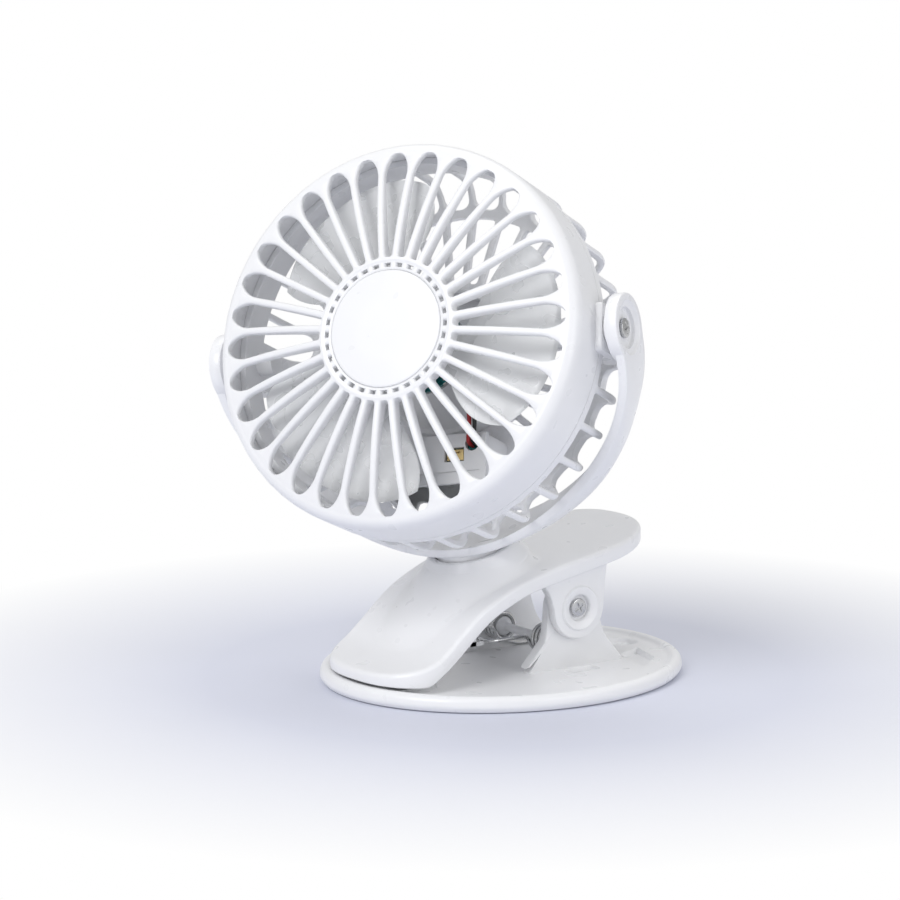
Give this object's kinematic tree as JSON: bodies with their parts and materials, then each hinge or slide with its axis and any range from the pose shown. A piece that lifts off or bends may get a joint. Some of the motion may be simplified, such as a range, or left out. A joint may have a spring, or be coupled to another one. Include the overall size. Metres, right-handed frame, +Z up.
{
  "type": "clip fan",
  "caption": "Small white rechargeable fan: a round slotted grille head tilts in a U-shaped yoke that swivels on a sprung clip with an oval base.",
  "frame": {"origin": "middle of the oval base's flat underside, which stands on the desk", "axes": "+Z up, -Y towards the clip's mouth, +X along the clip's hinge; every joint is at rest, in the pose of the picture"},
  "size_m": [0.1176, 0.1267, 0.1529],
  "materials": {
    "white_plastic": "satin-gloss moulded ABS",
    "satin_white_plastic": "fine satin moulded plastic",
    "frosted_blade_plastic": "frosted translucent moulded plastic",
    "grip_rubber": "soft matte rubber",
    "zinc_steel": "bright zinc plate",
    "spring_steel": "polished wire",
    "coil_copper": "enamelled copper winding",
    "stack_iron": "dark lacquered laminations",
    "board_green": "circuit board",
    "dark_plastic": "dark moulding",
    "socket_brass": "tinned brass",
    "red_wire": "red insulation",
    "black_wire": "black insulation",
    "cell_foil": "foil pouch"
  },
  "bodies": {
    "base": {"base_plate": "white_plastic", "base_grip_pad": "grip_rubber", "spring_pin": "white_plastic", "clip_spring": "spring_steel"},
    "jaw": {"jaw_lever": "white_plastic", "jaw_grip_pad": "grip_rubber", "hinge_screw_right": "zinc_steel", "hinge_screw_left": "zinc_steel", "swivel_washer": "zinc_steel", "swivel_screw": "zinc_steel"},
    "yoke": {"yoke": "white_plastic"},
    "head": {"rear_grille": "white_plastic", "front_grille": "white_plastic", "rear_cover": "white_plastic", "stator_core": "stack_iron", "motor_base": "zinc_steel", "motor_board": "board_green", "red_lead": "red_wire", "black_lead": "black_wire", "tilt_screw_right": "zinc_steel", "tilt_screw_left": "zinc_steel", "cover_screw_1": "zinc_steel", "cover_screw_2": "zinc_steel", "cover_screw_3": "zinc_steel", "grille_hub_cap": "white_plastic", "tilt_bush_right": "satin_white_plastic", "tilt_bush_left": "satin_white_plastic", "control_box_lid": "satin_white_plastic", "shaft_bearing_rear": "socket_brass", "shaft_bearing_front": "socket_brass", "indicator_lens": "frosted_blade_plastic", "usb_socket": "socket_brass", "push_switch": "dark_plastic", "motor_coil_1": "coil_copper", "motor_coil_2": "coil_copper", "motor_coil_3": "coil_copper", "motor_coil_4": "coil_copper", "motor_coil_5": "coil_copper", "motor_coil_6": "coil_copper", "control_board": "board_green", "battery_cell": "cell_foil"},
    "fan": {"fan_blades": "frosted_blade_plastic", "rotor_bell": "zinc_steel", "rotor_magnet": "dark_plastic", "motor_shaft": "zinc_steel"},
    "button": {"power_button": "satin_white_plastic"}
  },
  "joints": [
    {"name": "clip_open", "type": "hinge", "parent": "base", "child": "jaw", "pos_m": [0, 0.0119, 0.0212], "axis": [-1, 0, 0], "range_deg": [0, 28], "stiffness_Nm_per_rad": 0.45, "springref_deg": -31.51, "deforming": ["clip_spring"]},
    {"name": "yoke_swivel", "type": "hinge", "parent": "jaw", "child": "yoke", "pos_m": [0, -0.0106, 0.0367], "axis": [0, -0.284, 0.9588], "continuous": true},
    {"name": "head_tilt", "type": "hinge", "parent": "yoke", "child": "head", "pos_m": [0, -0.02838, 0.09672], "axis": [0.8572, 0.4938, 0.1463], "range_deg": [-55, 125]},
    {"name": "fan_spin", "type": "hinge", "parent": "head", "child": "fan", "pos_m": [0, -0.02838, 0.09672], "axis": [0.4198, -0.8345, 0.357], "continuous": true},
    {"name": "power_button_press", "type": "slide", "parent": "head", "child": "button", "axis": [0.4198, -0.8345, 0.357], "range_m": [0, 0.0008], "stiffness_N_per_m": 400, "springref_m": -0.001}
  ]
}
